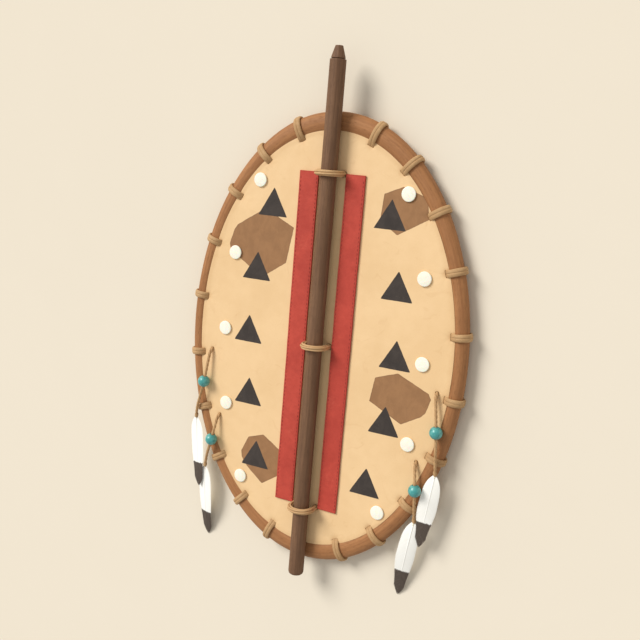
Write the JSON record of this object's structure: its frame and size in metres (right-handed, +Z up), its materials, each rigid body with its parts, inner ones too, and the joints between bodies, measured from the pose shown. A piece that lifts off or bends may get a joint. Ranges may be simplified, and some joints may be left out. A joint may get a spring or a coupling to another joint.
{
  "type": "hide shield",
  "caption": "Oval rawhide shield laced in a bent wooden hoop, with a staff tied down its face, dyed strips, bone discs and feather pendants on beaded thongs.",
  "frame": {"origin": "on the ground under the middle of the staff, with the shield lying face up; the oval's own centre is 47 mm towards the staff's foot", "axes": "+Z up out of the painted face, +Y along the staff towards its cut tip, +X to the right as the face is seen"},
  "size_m": [0.6434, 1.1104, 0.0851],
  "materials": {
    "hide": "matt scraped rawhide, painted with dark triangles and brown patches",
    "hoop": "bent wood, oiled red-brown",
    "staff": "dark stained wood, hand rubbed",
    "lashing": "dry rawhide thong",
    "tie": "dry rawhide thong",
    "band": "dyed red hide strip, matt",
    "disc": "polished bone",
    "thong": "twisted rawhide thong",
    "bead": "opaque blue-green stone or glass, softly polished",
    "feather": "white feather with a dark brown tip",
    "strap": "plain vegetable-tanned leather"
  },
  "bodies": {
    "root": {"hoop": "hoop", "hide_face": "hide", "staff": "staff", "lashing_01": "lashing", "lashing_02": "lashing", "lashing_03": "lashing", "lashing_04": "lashing", "lashing_05": "lashing", "lashing_06": "lashing", "lashing_07": "lashing", "lashing_08": "lashing", "lashing_09": "lashing", "lashing_10": "lashing", "lashing_11": "lashing", "lashing_12": "lashing", "lashing_13": "lashing", "lashing_14": "lashing", "lashing_15": "lashing", "lashing_16": "lashing", "lashing_17": "lashing", "lashing_18": "lashing", "lashing_19": "lashing", "lashing_20": "lashing", "staff_tie_lower": "tie", "staff_tie_middle": "tie", "staff_tie_upper": "tie", "band_left": "band", "band_right": "band", "disc_left_upper": "disc", "disc_left_upper_middle": "disc", "disc_left_middle": "disc", "disc_left_lower_middle": "disc", "disc_left_lower": "disc", "disc_right_upper": "disc", "disc_right_upper_middle": "disc", "disc_right_middle": "disc", "disc_right_lower_middle": "disc", "disc_right_lower": "disc", "thong_right_upper": "thong", "thong_right_lower": "thong", "thong_left_upper": "thong", "thong_left_lower": "thong", "bead_right_upper": "bead", "bead_right_lower": "bead", "bead_left_upper": "bead", "bead_left_lower": "bead", "feather_right_upper": "feather", "feather_right_lower": "feather", "feather_left_upper": "feather", "feather_left_lower": "feather", "hand_strap": "strap"}
  },
  "joints": []
}
